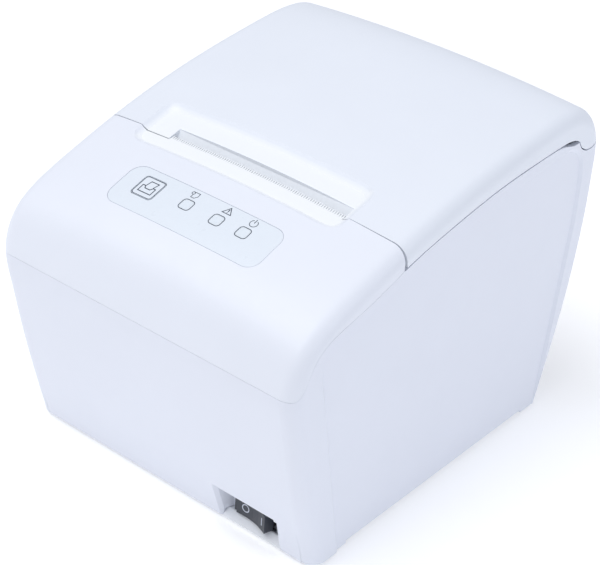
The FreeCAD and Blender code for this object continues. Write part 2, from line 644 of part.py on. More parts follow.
save("hinge_pins", group([cylx(PIN_R, 56.8, 63.8, HINGE_Y, HINGE_Z),
                          cylx(PIN_R, -63.8, -56.8, HINGE_Y, HINGE_Z)]))

# ---- print mechanism (own frame: X, n across the paper, t along it) -----------------
PLATEN = (7.0, 0.0)
# platen slot in the side plates follows the cover's swing
hy, hz = HINGE_Y - MECH_O[0], HINGE_Z - MECH_O[1]
a = math.radians(-MECH_TILT)
HV, HW = (hy * math.cos(a) - hz * math.sin(a), hy * math.sin(a) + hz * math.cos(a))
pr = math.hypot(PLATEN[0] - HV, PLATEN[1] - HW)
pa = math.atan2(PLATEN[1] - HW, PLATEN[0] - HV)


def swing(r, da):
    return (HV + r * math.cos(pa - da), HW + r * math.sin(pa - da))


SLOT_R = 5.06
slot = [swing(pr - SLOT_R, k * 0.03) for k in range(11)] + \
       [swing(pr + SLOT_R + 0.0, k * 0.03) for k in range(10, -1, -1)]
SLOT = prismx(slot, -60, 60).fuse(cylx(SLOT_R, -60, 60, *PLATEN))
frame = None
PLATE_PTS = [(-24.0, -34.0), (14.0, -34.0), (16.0, -10.0), (16.0, 9.0),
             (2.0, 9.0), (2.0, 13.5), (-24.0, 13.5)]
IDL1_C = (7.0, -(MODULE * (24 + 30) / 2.0))
MOT_C = (-8.0, -40.0)
d12 = MODULE * (30 + 26) / 2.0
d2m = MODULE * (26 + 12) / 2.0
dx, dy = MOT_C[0] - IDL1_C[0], MOT_C[1] - IDL1_C[1]
D = math.hypot(dx, dy)
ux, uy = dx / D, dy / D
# motor axis is set so that the three wheels stay in line with a slight bend
along = (d12 ** 2 - d2m ** 2 + D * D) / (2 * D)
hgt = math.sqrt(max(0.0, d12 ** 2 - along ** 2))
IDL2_C = (IDL1_C[0] + ux * along - uy * hgt, IDL1_C[1] + uy * along + ux * hgt)
print("gear axes", IDL1_C, IDL2_C, MOT_C, "D", D, d12 + d2m)
side = prismx([(-26.4, -52.0), (9.0, -52.0), (16.0, -26.0), (16.0, 9.0),
               (2.0, 9.0), (2.0, 8.4), (-22.5, 8.4), (-22.5, -8.0),
               (-26.4, -8.0)], 46.5, 47.7)
CSH = (-15.0, 11.0 - 0.2 - RACK_M * 10 / 2.0 - 0.85 * RACK_M)   # cutter shaft
side = side.cut(SLOT)
left = side.mirror(V(0, 0, 0), V(1, 0, 0))
side = side.cut([cylx(3.0, 40, 60, *MOT_C)])
frame = side.fuse(left)
frame = frame.fuse(box(-47.7, 47.7, -26.4, -25.2, -52.0, -8.0))
frame = frame.fuse(box(-47.7, 47.7, -17.6, -16.4, -9.0, 1.1))
frame = frame.cut([cylx(2.0, -60, 60, -4.0, -16.0),
                   cylx(1.8, -60, 60, *CSH)])
frame = frame.fuse([box(47.7, 53.0, -24.0, -16.0, -52.0, -50.8),
                    box(-53.0, -47.7, -24.0, -16.0, -52.0, -50.8)])
save("mech_frame", mech(frame.removeSplitter()))
save("head_pivot_shaft", mech(cylx(2.0, -49.5, 49.5, -4.0, -16.0)))
sink = box(-43.0, 43.0, -7.0, -1.05, -19.5, 6.0)
for k in range(9):
    sink = sink.cut(box(-38.4 + k * 8.8, -32.0 + k * 8.8, -7.5, -5.2, -12.5, -4.5)
                    if k != 4 else box(-3.2, 3.2, -7.5, -5.2, -12.5, -4.5))
sink = sink.cut(cylx(2.05, -50, 50, -4.0, -16.0))
save("head_heatsink", mech(sink))
sub = box(-42.0, 42.0, -1.0, -0.1, -9.0, 5.5)
sub = sub.fuse(box(-40.0, 40.0, -0.15, 0.0, -0.8, 0.8))
save("head_substrate", mech(sub.removeSplitter()))
springs = [helix_spring(2.6, 0.4, 1.64, 5, V(sx, -16.2, -2.4), V(0, 1, 0))
           for sx in (-24.0, 24.0)]
for s in springs:
    s.translate(V(0, 0.25, 0))
save("head_springs", mech(group(springs)))

PL_L = PAPER_W / 2.0 + 1.5
save("platen_roller", mech(cylx(6.85, -PL_L, PL_L, *PLATEN).cut(
    cylx(3.0, -60, 60, *PLATEN))))
save("platen_shaft", mech(cylx(3.0, -50.2, 54.6, *PLATEN)))
bush = []
for sx in (1, -1):
    x0, x1 = sorted((sx * 45.2, sx * 49.0))
    b = cylx(5.0, x0, x1, *PLATEN)
    x0, x1 = sorted((sx * 43.0, sx * 45.6))
    b = b.fuse(cylx(4.2, x0, x1, *PLATEN)).cut(cylx(3.04, -70, 70, *PLATEN))
    bush.append(b)
save("platen_bushings", mech(group(bush)))

# gear phases
def mesh_rot(rot_a, za, zb, ca, cb):
    th = math.atan2(cb[1] - ca[1], cb[0] - ca[0])
    pitch = 2 * math.pi / za
    eps = (rot_a - th) % pitch
    return th + math.pi - eps * za / zb + math.pi / zb


ROT_P = -math.pi / 2
ROT_1 = mesh_rot(ROT_P, 24, 30, PLATEN, IDL1_C)
ROT_2 = mesh_rot(ROT_1, 30, 26, IDL1_C, IDL2_C)
ROT_M = mesh_rot(ROT_2, 26, 12, IDL2_C, MOT_C)
GX0, GX1 = 50.0, 53.5
save("platen_gear", mech(gear(24, MODULE, GX0, GX1, *PLATEN, ROT_P, 3.0)))
save("idler_gear_upper", mech(gear(30, MODULE, GX0, GX1, *IDL1_C, ROT_1, 1.54)))
save("idler_gear_lower", mech(gear(26, MODULE, GX0, GX1, *IDL2_C, ROT_2, 1.54)))
studs = []
for c in (IDL1_C, IDL2_C):
    studs.append(cylx(1.5, 47.7, 54.4, *c).fuse(cylx(2.4, 47.7, 49.6, *c)).fuse(
        cylx(2.3, 53.9, 54.6, *c)))
save("gear_studs", mech(group(studs)))
save("motor_pinion", mech(gear(12, MODULE, GX0 - 0.4, GX1 + 0.4, *MOT_C, ROT_M, 0.0)
                          .fuse(cylx(1.0, 44.5, 54.4, *MOT_C))))
mot = cylx(16.5, 25.5, 46.3, *MOT_C)
mot = mot.fuse(prismx([(MOT_C[0] - 20.5, MOT_C[1] - 4.0),
                       (MOT_C[0] - 20.5, MOT_C[1] + 4.0),
                       (MOT_C[0] - 8, MOT_C[1] + 14.4),
                       (MOT_C[0] + 8, MOT_C[1] + 14.4),
                       (MOT_C[0] + 20.5, MOT_C[1] + 4.0),
                       (MOT_C[0] + 20.5, MOT_C[1] - 4.0),
                       (MOT_C[0] + 8, MOT_C[1] - 14.4),
                       (MOT_C[0] - 8, MOT_C[1] - 14.4)], 45.1, 46.3)
               .common(box(0, 60, -23, 30, -80, 0)))
mot = mot.cut(cylx(1.04, 44.0, 50.0, *MOT_C))
save("feed_motor", mech(mot.removeSplitter()))

# cutter above the head
BW = 11.0                                   # blade height in the frame
blade = Part.Face(Part.makePolygon([
    V(-44.5, -22.0, BW), V(44.5, -22.0, BW), V(44.5, -1.2, BW), V(42.0, -1.2, BW),
    V(0.0, -3.4, BW), V(-42.0, -1.2, BW), V(-44.5, -1.2, BW),
    V(-44.5, -22.0, BW)])).extrude(V(0, 0, 0.8))


def rack(x0, x1):
    p = math.pi * RACK_M
    top = BW
    pitch_w = CSH[1] + RACK_M * 10 / 2.0
    tip = pitch_w - 0.8 * RACK_M
    root = pitch_w + 1.1 * RACK_M
    tn = math.tan(math.radians(20))
    half = p / 4.0 - 0.06
    pts = [(-22.0, top), (-22.0, root)]
    k = -3
    while k <= 3:
        c = CSH[0] + p * (k + 0.5)
        if c - p / 2 > -21.9 and c + p / 2 < -6.0:
            pts += [(c - half - (root - pitch_w) * tn, root),
                    (c - half + (pitch_w - tip) * tn, tip),
                    (c + half - (pitch_w - tip) * tn, tip),
                    (c + half + (root - pitch_w) * tn, root)]
        k += 1
    pts += [(-5.0, root), (-5.0, top)]
    return prismx(pts, x0, x1)


blade = blade.fuse([rack(36.0, 40.0), rack(-40.0, -36.0)])
save("cutter_blade", mech(blade.removeSplitter()))
shaft = cylx(1.5, -48.4, 53.0, *CSH)
for x0, x1 in ((36.2, 39.8), (-39.8, -36.2)):
    shaft = shaft.fuse(prismx([(CSH[0] + p, CSH[1] + q) for p, q in
                               gear_pts(10, RACK_M, math.pi / 2, 0.12, 0.8, 1.2)],
                              x0, x1))
CG_Z, CP_Z = 28, 12
cg = (CSH[0], CSH[1])
CM_C = (CSH[0] - MODULE * (CG_Z + CP_Z) / 2.0 * math.cos(math.radians(20)),
        CSH[1] - MODULE * (CG_Z + CP_Z) / 2.0 * math.sin(math.radians(20)))
ROT_G = 0.0
shaft = shaft.fuse(prismx([(cg[0] + p, cg[1] + q) for p, q in
                           gear_pts(CG_Z, MODULE, ROT_G)], GX0, GX1 - 0.6))
save("cutter_shaft", mech(shaft.removeSplitter()))
ROT_CP = mesh_rot(ROT_G, CG_Z, CP_Z, cg, CM_C)
save("cutter_motor_pinion", mech(prismx(
    [(CM_C[0] + p, CM_C[1] + q) for p, q in gear_pts(CP_Z, MODULE, ROT_CP)],
    GX0 - 0.3, GX1 - 0.3).fuse(cylx(1.0, 44.0, GX1 + 0.2, *CM_C))))
cmot = cylx(4.6, 22.0, 46.3, *CM_C).cut(cylx(1.04, 43.5, 60, *CM_C))
save("cutter_motor", mech(cmot))
# cutter frame: two cheeks, a cross beam and the blade's roof
cf = None
for sx in (1, -1):
    x0, x1 = sorted((sx * 44.9, sx * 46.2))
    ck = box(x0, x1, -23.5, 1.2, 2.4, 13.4).cut(
        box(-60, 60, -22.3, 8.0, BW - 0.3, BW + 1.1))
    ck = ck.cut(cylx(1.54, -60, 60, *CSH))
    cf = ck if cf is None else cf.fuse(ck)
cf = cf.fuse(box(-46.2, 46.2, -23.5, -22.4, -3.0, 13.4))
cf = cf.fuse(box(-46.2, 46.2, -23.5, -1.6, BW + 1.2, BW + 2.4))
cf = mech(cf.cut(cylx(4.8, 20, 60, *CM_C)).removeSplitter())
save("cutter_frame", cf.cut(panel(box(-60, 60, -14.0, 5.4, -11.6, -6.0))))

# cover side: platen bracket and fixed blade
arms = None
for sx in (1, -1):
    x0, x1 = sorted((sx * 42.6, sx * 44.6))
    arm = prismx([(1.6, -6.6), (1.6, 10.0), (9.0, 15.0), (26.0, 15.0),
                  (26.0, 10.0), (14.0, -6.6)], x0, x1)
    arm = arm.cut(cylx(4.22, -60, 60, *PLATEN))
    arms = arm if arms is None else arms.fuse(arm)
arms = arms.fuse(box(-44.6, 44.6, 9.0, 30.0, 13.6, 15.2))
guide = cylx(9.6, -42.6, 42.6, *PLATEN).cut(cylx(8.0, -43, 43, *PLATEN)).common(
    box(-60, 60, 8.0, 30, -3.0, 12))
arms = arms.fuse(guide)
arms = mech(arms.removeSplitter())
for px, py in PADS:
    arms = arms.cut(cylz(1.3, 100, 125, px, py))
arms = arms.cut([mech(box(-50, 50, -5, 8.6, 11.8, 30)),
                 mech(box(-50, 50, -5, 4.8, 10.4, 30))])
save("platen_bracket", arms.removeSplitter())
fb = Part.Face(Part.makePolygon([
    V(-42.2, 0.7, 12.05), V(42.2, 0.7, 12.05), V(42.2, 18.0, 12.05),
    V(-42.2, 18.0, 12.05), V(-42.2, 0.7, 12.05)])).extrude(V(0, 0, 1.2))
save("fixed_blade", mech(fb))

# ---- power switch --------------------------------------------------------------------
RK = (40.4, -64.6)                            # rocker pivot
hous = box(30.6, 51.4, -67.0, -52.0, 5.0, 12.9)
hous = hous.fuse(box(29.6, 52.4, -68.0, -66.7, 4.35, 13.5))
hous = hous.cut(box(RK[0] - 9.0, RK[0] + 9.0, -80.0, -57.5, 4.75, 13.05))
hous = hous.fuse([box(RK[0] - 2.4, RK[0] + 2.4, -66.1, -57.0, 4.6, 5.4),
                  box(RK[0] - 2.4, RK[0] + 2.4, -66.1, -57.0, 12.4, 13.1)])
hous = hous.cut(cylz(1.03, 4.0, 14.0, RK[0], RK[1]))
save("switch_housing", hous.removeSplitter())
ROCK = [(-7.7, -6.3), (-5.6, -5.75), (-3.0, -5.3), (0.0, -5.1), (3.0, -5.3),
        (5.6, -5.75), (7.7, -6.3), (8.1, -2.2), (4.5, 3.8), (-4.5, 3.8), (-8.1, -2.2)]
ca, sa = math.cos(math.radians(-9.0)), math.sin(math.radians(-9.0))
rpts = [(RK[0] + p * ca - q * sa, RK[1] + p * sa + q * ca) for p, q in ROCK]
rk = Part.Face(Part.makePolygon([V(p, q, 5.75) for p, q in rpts] +
                                [V(rpts[0][0], rpts[0][1], 5.75)])
               ).extrude(V(0, 0, 6.3))
front = Part.Face(Part.makePolygon(
    [V(p, q, 5.05) for p, q in rpts[:8]] +
    [V(RK[0] - 8.1 * ca + 2.2 * sa - 0.0, -66.6, 5.05),
     V(rpts[0][0], rpts[0][1], 5.05)])).extrude(V(0, 0, 7.7))
rk = rk.fuse(front.common(box(20, 60, -80, -67.2, 0, 20)))
rk = rk.fuse(cylz(1.0, 5.1, 12.8, RK[0], RK[1]))
save("power_rocker", rk.removeSplitter())
term = [box(34.0 + 6.0 * k, 36.4 + 6.0 * k, -51.95, -46.5, 8.3, 9.1)
        for k in range(3)]
save("switch_terminals", group(term))

# ---- main board and rear connectors ----------------------------------------------------
pcb = box(-50.0, 50.0, -38.0, 64.0, 8.05, 9.65)
for px, py in BOARD_POSTS:
    pcb = pcb.cut(cylz(1.6, 5, 12, px, py))
for px, py in [(-52.0, 8.0), (52.0, 8.0), (-52.0, 48.0), (52.0, 48.0)]:
    pcb = pcb.cut(box(px - 2.6, px + 2.6, py - 2.6, py + 2.6, 5, 12))
save("main_board", pcb)
save("main_board_screws", group([screw(px, py, 9.7, 2.4, 1.5, 1.1, 6.0, (0, 0, -1))
                                 for px, py in BOARD_POSTS]))
parts_b = [box(-20, -6, -30, -16, 9.7, 12.2), box(4, 12, -28, -20, 9.7, 11.6),
           cylz(5.0, 9.7, 24.0, -38.0, -24.0), cylz(5.0, 9.7, 24.0, -38.0, -12.0),
           cylz(6.0, 9.7, 17.5, 30.0, -26.0), box(18, 24, -32, -18, 9.7, 15.0),
           box(34, 44, -12, -4, 9.7, 16.0)]
save("board_components", group(parts_b))
IO_Y = 66.0
io = box(-56.6, 56.6, IO_Y, IO_Y + 1.6, 6.2, 44.2)
CONN = {
    "power_inlet": (-43.0, 10.0, 16.0, 12.0),
    "drawer_port": (-21.0, 10.0, 14.0, 13.0),
    "usb_port": (-2.5, 10.0, 12.4, 11.4),
    "lan_port": (16.5, 10.0, 16.2, 13.6),
    "serial_port": (41.0, 10.0, 19.0, 11.5),
}
for nm, (cx, z0, w, h) in CONN.items():
    io = io.cut(box(cx - w / 2 - 0.3, cx + w / 2 + 0.3, 50, 70, z0 - 0.25, z0 + h + 0.3))
bucket_c = u_shape(RO + 0.5, cy - RO - 0.5, -44.0, 44.0, 130.0)
io = io.cut(bucket_c)
save("io_panel", io)
for nm, (cx, z0, w, h) in CONN.items():
    b = box(cx - w / 2, cx + w / 2, IO_Y - 13.5, IO_Y + 2.6, z0 - 0.2, z0 + h)
    yb = IO_Y + 3.0
    if nm == "power_inlet":
        b = b.cut(cyly(5.2, IO_Y - 8.0, yb, cx, z0 + h / 2))
        b = b.fuse([cyly(0.8, IO_Y - 8.2, IO_Y - 3.4, cx - 2.1, z0 + h / 2 - 1.3),
                    cyly(0.8, IO_Y - 8.2, IO_Y - 3.4, cx + 2.1, z0 + h / 2 - 1.3),
                    cyly(0.8, IO_Y - 8.2, IO_Y - 3.4, cx, z0 + h / 2 + 2.0)])
    elif nm in ("drawer_port", "lan_port"):
        iw = w - 3.4
        b = b.cut(box(cx - iw / 2, cx + iw / 2, IO_Y - 10, yb, z0 + 3.2, z0 + h - 1.6))
        b = b.cut(box(cx - 3.2, cx + 3.2, IO_Y - 10, yb, z0 + 1.2, z0 + 4.0))
    elif nm == "usb_port":
        b = b.cut(prismy([(cx - 4.3, z0 + 1.4), (cx + 4.3, z0 + 1.4),
                          (cx + 4.3, z0 + 7.6), (cx + 2.8, z0 + 9.4),
                          (cx - 2.8, z0 + 9.4), (cx - 4.3, z0 + 7.6)],
                         IO_Y - 8.0, yb))
        b = b.fuse(box(cx - 2.8, cx + 2.8, IO_Y - 8.5, IO_Y - 2.6, z0 + 3.8, z0 + 6.6))
    else:
        b = b.cut(box(cx - 8.6, cx + 8.6, IO_Y + 1.7, yb, z0 + 0.8, z0 + h - 0.8))
        b = b.fuse(prismy([(cx - 7.0, z0 + 1.6), (cx + 7.0, z0 + 1.6),
                           (cx + 8.2, z0 + 9.0), (cx + 7.6, z0 + 9.8),
                           (cx - 7.6, z0 + 9.8), (cx - 8.2, z0 + 9.0)],
                          IO_Y + 1.0, IO_Y + 7.2))
        b = b.cut(prismy([(cx - 6.4, z0 + 2.2), (cx + 6.4, z0 + 2.2),
                          (cx + 7.5, z0 + 8.8), (cx + 7.0, z0 + 9.2),
                          (cx - 7.0, z0 + 9.2), (cx - 7.5, z0 + 8.8)],
                         IO_Y + 2.2, IO_Y + 8.0))
    save(nm, b.removeSplitter())
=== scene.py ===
import bpy
import bmesh
import math
from mathutils import Vector, Matrix
from mathutils.bvhtree import BVHTree


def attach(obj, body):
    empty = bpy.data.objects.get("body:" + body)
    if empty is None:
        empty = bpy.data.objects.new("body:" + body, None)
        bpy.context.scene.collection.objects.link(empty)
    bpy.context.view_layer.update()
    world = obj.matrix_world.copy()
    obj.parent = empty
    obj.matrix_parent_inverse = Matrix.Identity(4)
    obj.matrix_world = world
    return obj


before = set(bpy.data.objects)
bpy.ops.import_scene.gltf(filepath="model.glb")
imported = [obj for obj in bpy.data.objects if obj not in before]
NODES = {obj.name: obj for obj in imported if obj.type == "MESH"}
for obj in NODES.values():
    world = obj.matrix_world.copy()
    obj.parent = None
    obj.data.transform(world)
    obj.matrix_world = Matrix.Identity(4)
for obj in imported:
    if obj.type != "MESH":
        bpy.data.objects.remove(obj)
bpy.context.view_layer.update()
scene = bpy.context.scene
MM = 0.001


# ---- materials ------------------------------------------------------------
def new_mat(name):
    m = bpy.data.materials.new(name)
    m.use_nodes = True
    nt = m.node_tree
    nt.nodes.clear()
    out = nt.nodes.new("ShaderNodeOutputMaterial")
    b = nt.nodes.new("ShaderNodeBsdfPrincipled")
    nt.links.new(b.outputs["BSDF"], out.inputs["Surface"])
    return m, nt, b


def coords(nt, scale=(1, 1, 1)):
    t = nt.nodes.new("ShaderNodeTexCoord")
    mp = nt.nodes.new("ShaderNodeMapping")
    mp.inputs["Scale"].default_value = scale
    nt.links.new(t.outputs["Object"], mp.inputs["Vector"])
    return mp.outputs["Vector"]


def noise(nt, vec, scale, detail=2.0, rough=0.5):
    n = nt.nodes.new("ShaderNodeTexNoise")
    n.inputs["Scale"].default_value = scale
    n.inputs["Detail"].default_value = detail
    n.inputs["Roughness"].default_value = rough
    nt.links.new(vec, n.inputs["Vector"])
    return n.outputs["Fac"]


def ramp(nt, fac, lo, hi, p0=0.3, p1=0.7):
    r = nt.nodes.new("ShaderNodeValToRGB")
    r.color_ramp.elements[0].position = p0
    r.color_ramp.elements[1].position = p1
    r.color_ramp.elements[0].color = (*lo, 1) if len(lo) == 3 else lo
    r.color_ramp.elements[1].color = (*hi, 1) if len(hi) == 3 else hi
    nt.links.new(fac, r.inputs["Fac"])
    return r.outputs["Color"]


def remap(nt, fac, lo, hi):
    m = nt.nodes.new("ShaderNodeMapRange")
    m.inputs["From Min"].default_value = 0.3
    m.inputs["From Max"].default_value = 0.7
    m.inputs["To Min"].default_value = lo
    m.inputs["To Max"].default_value = hi
    nt.links.new(fac, m.inputs["Value"])
    return m.outputs["Result"]


def bump(nt, b, height, strength, distance):
    n = nt.nodes.new("ShaderNodeBump")
    n.inputs["Strength"].default_value = strength
    n.inputs["Distance"].default_value = distance
    nt.links.new(height, n.inputs["Height"])
    nt.links.new(n.outputs["Normal"], b.inputs["Normal"])
    return n


def mul(c, k):
    return tuple(min(1.0, v * k) for v in c)


def inside(nt, x0, x1, y0, y1, w):
    """Soft-edged box mask over X and Y, in millimetres."""
    t = nt.nodes.new("ShaderNodeTexCoord")
    sp = nt.nodes.new("ShaderNodeSeparateXYZ")
    nt.links.new(t.outputs["Object"], sp.inputs["Vector"])
    res = None
    for ax, a, b in (("X", x0, x0 + w), ("X", x1, x1 - w), ("Y", y0, y0 + w), ("Y", y1, y1 - w)):
        m = nt.nodes.new("ShaderNodeMapRange")
        m.interpolation_type = "SMOOTHSTEP"
        m.inputs["From Min"].default_value = min(a, b) * MM
        m.inputs["From Max"].default_value = max(a, b) * MM
        m.inputs["To Min"].default_value = 0.0 if a < b else 1.0
        m.inputs["To Max"].default_value = 1.0 if a < b else 0.0
        nt.links.new(sp.outputs[ax], m.inputs["Value"])
        if res is None:
            res = m.outputs["Result"]
        else:
            k = nt.nodes.new("ShaderNodeMath")
            k.operation = "MULTIPLY"
            nt.links.new(res, k.inputs[0])
            nt.links.new(m.outputs["Result"], k.inputs[1])
            res = k.outputs["Value"]
    return res


def painted_light_patch(m, area_mm, color):
    """Paler base colour inside a stated area of one moulding: painted light standing in for
    light the lamps do not bring there.
    """
    nt = m.node_tree
    b = [n for n in nt.nodes if n.type == "BSDF_PRINCIPLED"][0]
    old = b.inputs["Base Color"].links[0].from_socket
    mix = nt.nodes.new("ShaderNodeMix")
    mix.data_type = "RGBA"
    nt.links.new(inside(nt, *area_mm), mix.inputs["Factor"])
    nt.links.new(old, mix.inputs[6])
    mix.inputs[7].default_value = (*color, 1)
    nt.links.new(mix.outputs[2], b.inputs["Base Color"])


def plastic(name, color, rough=0.42, grain=2600.0, grain_amt=0.10, var=0.02,
            spec=0.45, sss=0.0):
    """Moulded plastic: fine spark-erosion grain, slight tone and gloss drift."""
    m, nt, b = new_mat(name)
    v = coords(nt)
    drift = noise(nt, v, 38.0, 3.0)
    nt.links.new(ramp(nt, drift, mul(color, 1 - var), mul(color, 1 + var)),
                 b.inputs["Base Color"])
    gl = noise(nt, v, 240.0, 4.0)
    nt.links.new(remap(nt, gl, rough - 0.05, rough + 0.05), b.inputs["Roughness"])
    bump(nt, b, noise(nt, v, grain, 3.0, 0.6), grain_amt, 0.00006)
    b.inputs["Specular IOR Level"].default_value = spec
    if sss > 0:
        b.inputs["Subsurface Weight"].default_value = sss
        b.inputs["Subsurface Radius"].default_value = (0.002, 0.002, 0.002)
        b.inputs["Subsurface Scale"].default_value = 0.4
    return m


def metal(name, color, rough=0.32, stretch=(6.0, 900.0, 900.0), amt=0.12, var=0.06):
    """Bare metal with drawn lines along one axis and faint stains."""
    m, nt, b = new_mat(name)
    v = coords(nt, stretch)
    lines = noise(nt, v, 1.0, 3.0)
    blot = noise(nt, coords(nt), 60.0, 4.0)
    nt.links.new(ramp(nt, blot, mul(color, 1 - var), mul(color, 1 + var)),
                 b.inputs["Base Color"])
    nt.links.new(remap(nt, lines, rough - 0.07, rough + 0.1), b.inputs["Roughness"])
    bump(nt, b, lines, amt, 0.00004)
    b.inputs["Metallic"].default_value = 1.0
    return m


def rubber(name, color):
    m, nt, b = new_mat(name)
    v = coords(nt)
    nt.links.new(ramp(nt, noise(nt, v, 90.0, 4.0), mul(color, 0.8), mul(color, 1.25)),
                 b.inputs["Base Color"])
    nt.links.new(remap(nt, noise(nt, v, 500.0), 0.62, 0.8), b.inputs["Roughness"])
    bump(nt, b, noise(nt, v, 1900.0, 4.0, 0.7), 0.35, 0.00008)
    return m


def board(name, color):
    m, nt, b = new_mat(name)
    v = coords(nt)
    br = nt.nodes.new("ShaderNodeTexBrick")
    br.inputs["Scale"].default_value = 210.0
    br.inputs["Mortar Size"].default_value = 0.03
    br.inputs["Color1"].default_value = (*color, 1)
    br.inputs["Color2"].default_value = (*mul(color, 1.15), 1)
    br.inputs["Mortar"].default_value = (*mul(color, 1.7), 1)
    nt.links.new(v, br.inputs["Vector"])
    nt.links.new(br.outputs["Color"], b.inputs["Base Color"])
    nt.links.new(remap(nt, noise(nt, v, 300.0), 0.25, 0.4), b.inputs["Roughness"])
    bump(nt, b, br.outputs["Fac"], 0.2, 0.00005)
    return m


WHITE = (0.806, 0.836, 0.906)
M_SHELL = plastic("shell_white", WHITE, 0.40, 2400.0, 0.07, 0.006, 0.42)
M_COVER = plastic("shell_cover", (0.797, 0.833, 0.896), 0.40, 2400.0, 0.07, 0.006, 0.42)
# The dish area on the shell and cover is painted paler: painted light for the extra light the
# dish catches.
DISH = (-52.0, 44.6, -41.0, -17.8, 2.4)
for m in (M_SHELL, M_COVER):
    painted_light_patch(m, DISH, (0.885, 0.908, 0.928))
# Paler strip on the paper slot's rear wall: painted light lifting the wall out of its shade.
painted_light_patch(M_COVER, (-39.5, 42.7, -33.9, -27.0, 0.2), (0.905, 0.940, 0.985))
M_FILM = plastic("overlay_film", (0.765, 0.818, 0.880), 0.32, 1500.0, 0.02, 0.003, 0.4)
M_DARK = plastic("chassis_grey", (0.055, 0.058, 0.066), 0.45, 1800.0, 0.2, 0.08)
M_BLACK = plastic("black_plastic", (0.030, 0.033, 0.040), 0.38, 1600.0, 0.18, 0.1)
M_SWITCH = plastic("switch_grey", (0.042, 0.047, 0.060), 0.40, 1500.0, 0.16, 0.06)
M_GEAR = plastic("gear_plastic", (0.78, 0.77, 0.70), 0.4, 1400.0, 0.1, 0.04)
M_LED = plastic("led_body", (0.85, 0.84, 0.70), 0.25, 900.0, 0.05, 0.03)
M_CERAMIC = plastic("ceramic", (0.80, 0.76, 0.66), 0.2, 800.0, 0.06, 0.05)
M_STEEL = metal("steel", (0.60, 0.61, 0.63))
M_ZINC = metal("zinc", (0.66, 0.66, 0.66), 0.36, (220.0, 220.0, 220.0), 0.06)
M_ALU = metal("aluminium", (0.78, 0.79, 0.81), 0.3)
M_BRASS = metal("brass", (0.72, 0.55, 0.26), 0.28)
M_RUBBER = rubber("rubber_black", (0.03, 0.03, 0.033))
M_PCB = board("pcb_green", (0.02, 0.14, 0.07))
M_INK = plastic("print_ink", (0.040, 0.055, 0.085), 0.5, 1800.0, 0.05, 0.05)
M_MARK = plastic("switch_mark", (0.55, 0.58, 0.66), 0.5, 1800.0, 0.05, 0.02)
M_LENS = plastic("lens_clear", (0.760, 0.820, 0.880), 0.22, 1200.0, 0.02, 0.01, 0.5, 0.3)

# The lower case gets a darker copy of the shell white: painted shade on the case's front and
# sides.
M_CASE_PAINTED_SHADE = plastic("shell_case_painted_shade", (0.780, 0.808, 0.885), 0.40, 2400.0, 0.07, 0.006, 0.42)
# The base plate gets a paler copy of the white: painted light on the switch pocket's floor,
# which sits in shade.
M_BASE_PAINTED_LIGHT = plastic("base_white_painted_light", (0.90, 0.925, 0.955), 0.40, 2400.0, 0.07, 0.006, 0.42)

LOOK = {
    "lower_case": M_CASE_PAINTED_SHADE, "front_bezel": M_SHELL, "roll_cover": M_COVER,
    "base_plate": M_BASE_PAINTED_LIGHT, "tear_bar": M_SHELL, "rubber_feet": M_RUBBER,
    "base_screws": M_ZINC, "control_overlay": M_FILM, "feed_button": M_FILM,
    "indicator_lenses": M_LENS, "control_board": M_PCB, "tact_switch": M_BLACK,
    "indicator_leds": M_LED, "board_screws": M_ZINC, "roll_bucket": M_DARK,
    "hinge_pins": M_STEEL, "mech_frame": M_ZINC, "head_pivot_shaft": M_STEEL,
    "head_heatsink": M_ALU, "head_substrate": M_CERAMIC, "head_springs": M_STEEL,
    "platen_roller": M_RUBBER, "platen_shaft": M_STEEL, "platen_bushings": M_BLACK,
    "platen_gear": M_GEAR, "idler_gear_upper": M_GEAR, "idler_gear_lower": M_GEAR,
    "gear_studs": M_STEEL, "motor_pinion": M_BRASS, "feed_motor": M_ZINC,
    "cutter_blade": M_STEEL, "cutter_shaft": M_STEEL, "cutter_motor_pinion": M_BRASS,
    "cutter_motor": M_ZINC, "cutter_frame": M_ZINC, "platen_bracket": M_BLACK,
    "fixed_blade": M_STEEL, "switch_housing": M_SWITCH, "power_rocker": M_SWITCH,
    "switch_terminals": M_BRASS, "main_board": M_PCB, "main_board_screws": M_ZINC,
    "board_components": M_BLACK, "io_panel": M_ZINC, "power_inlet": M_BLACK,
    "drawer_port": M_BLACK, "usb_port": M_ZINC, "lan_port": M_ZINC,
    "serial_port": M_ZINC,
}
for n, o in NODES.items():
    o.data.materials.clear()
    o.data.materials.append(LOOK[n])
for n in ("lower_case", "front_bezel", "roll_cover", "base_plate", "power_rocker",
          "switch_housing", "roll_bucket"):
    bv = NODES[n].modifiers.new("edge", "BEVEL")
    bv.width = {"power_rocker": 0.0003}.get(n, 0.00035)
    bv.segments = 2
    bv.limit_method = "ANGLE"
    bv.angle_limit = math.radians(38)
    bv.use_clamp_overlap = True
    bv.harden_normals = True


# ---- printed marks on the control panel ---------------------------------------
PNL_Y, PNL_Z = -59.5, 112.55
SL = math.atan2(120.3 - 110.9, 64.7 - 35.3)
N_P = Vector((0, -math.sin(SL), math.cos(SL)))


def panel_pt(x, y, z=0.0):
    return Vector((x, PNL_Y + y * math.cos(SL) - z * math.sin(SL),
                   PNL_Z + y * math.sin(SL) + z * math.cos(SL)))


def tree(names):
    vs, fs = [], []
    for n in names:
        me = NODES[n].data
        k = len(vs)
        vs += [v.co.copy() for v in me.vertices]
        fs += [[k + i for i in p.vertices] for p in me.polygons]
    return BVHTree.FromPolygons(vs, fs)


PANEL_TREE = tree(["control_overlay", "feed_button", "indicator_lenses", "front_bezel"])


def on_panel(x, y, lift):
    o = panel_pt(x, y, 15.0) * MM
    hit = PANEL_TREE.ray_cast(o, -N_P)
    p = hit[0] if hit[0] is not None else panel_pt(x, y) * MM
    return p + N_P * (lift * MM)


